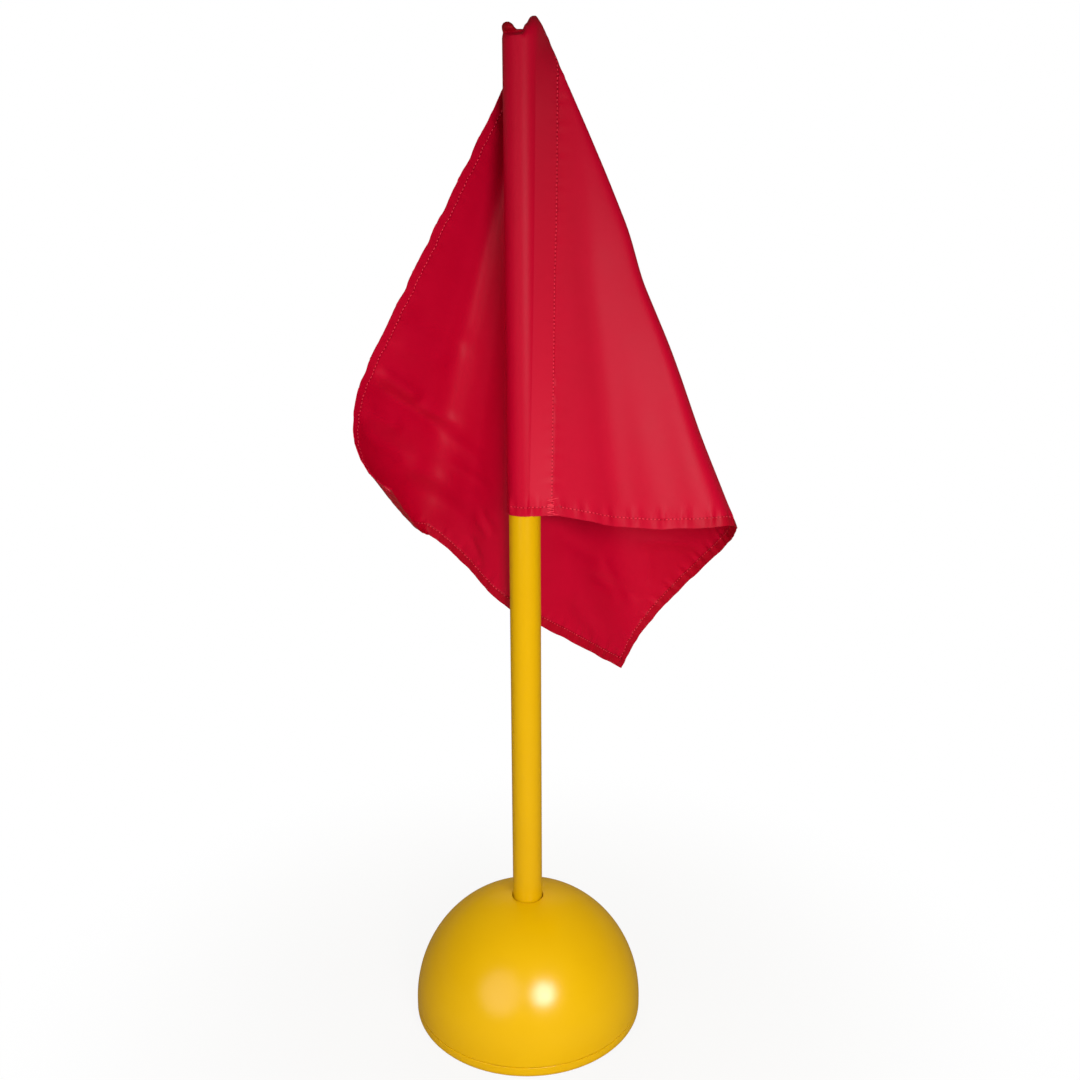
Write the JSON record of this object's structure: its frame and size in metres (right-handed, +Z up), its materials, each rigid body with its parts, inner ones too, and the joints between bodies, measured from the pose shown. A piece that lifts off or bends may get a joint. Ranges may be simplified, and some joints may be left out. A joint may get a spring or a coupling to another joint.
{
  "type": "corner flag",
  "caption": "Corner flag for a pitch: weighted dome base, round plastic pole in a socket, and a red nylon flag whose sewn sleeve slips over the pole.",
  "frame": {"origin": "on the pole's axis, on the underside of the rubber pad, at floor level", "axes": "+Z up along the pole; -Y towards the viewer of the picture; +X to the viewer's right, the way the flag flies"},
  "size_m": [0.3679, 0.242, 1.006],
  "materials": {
    "yellow_plastic": "satin moulded yellow plastic",
    "grey_plastic": "dark grey moulded plastic",
    "black_rubber": "matt black rubber",
    "concrete": "rough cast concrete",
    "zinc_steel": "zinc-plated steel",
    "red_nylon": "thin satin red nylon"
  },
  "bodies": {
    "base": {"dome_shell": "yellow_plastic", "base_plate": "yellow_plastic", "grip_pad": "black_rubber", "ballast": "concrete", "pole_socket": "grey_plastic", "base_screw_1": "zinc_steel", "base_screw_2": "zinc_steel", "base_screw_3": "zinc_steel", "base_screw_4": "zinc_steel", "base_screw_5": "zinc_steel", "base_screw_6": "zinc_steel"},
    "pole": {"pole_tube": "yellow_plastic", "pole_foot_plug": "grey_plastic", "pole_top_cap": "grey_plastic"},
    "flag": {"flag_sleeve": "red_nylon", "flag_panel": "red_nylon"}
  },
  "joints": [
    {"name": "pole_lift", "type": "slide", "parent": "base", "child": "pole", "axis": [0, 0, 1], "range_m": [0, 0.12]},
    {"name": "flag_turn", "type": "hinge", "parent": "pole", "child": "flag", "pos_m": [0, 0, 0.76], "axis": [0, 0, 1], "continuous": true}
  ]
}
